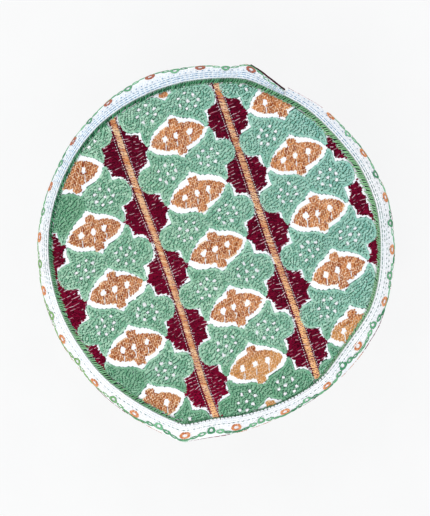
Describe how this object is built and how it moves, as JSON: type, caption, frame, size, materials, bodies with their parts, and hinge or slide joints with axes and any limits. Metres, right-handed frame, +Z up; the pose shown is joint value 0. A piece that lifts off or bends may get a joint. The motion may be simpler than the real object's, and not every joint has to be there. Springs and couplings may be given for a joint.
{
  "type": "embroidered prayer cap",
  "caption": "Round flat-topped cloth prayer cap with an embroidered crown, a green whipped crown seam, a white side wall worked in chain loops, and a folded hem.",
  "frame": {"origin": "on the surface the cap stands on, under the middle of its footprint", "axes": "+Z up, out of the crown; -Y is the front, the lower side of the picture; +X is the picture's right"},
  "size_m": [0.1868, 0.1936, 0.0912],
  "materials": {
    "crown_embroidery": "green, brown and maroon cotton thread in short satin stitches on white cloth",
    "whipped_seam": "green thread whipped over the seam in slanting stitches",
    "white_cotton": "white cotton with corded ribs and chain-stitched loops",
    "hem_cotton": "matte white cotton, folded and stitched"
  },
  "bodies": {
    "root": {"crown_panel": "crown_embroidery", "crown_edge": "whipped_seam", "side_wall": "white_cotton", "rim_binding": "hem_cotton"}
  },
  "joints": []
}
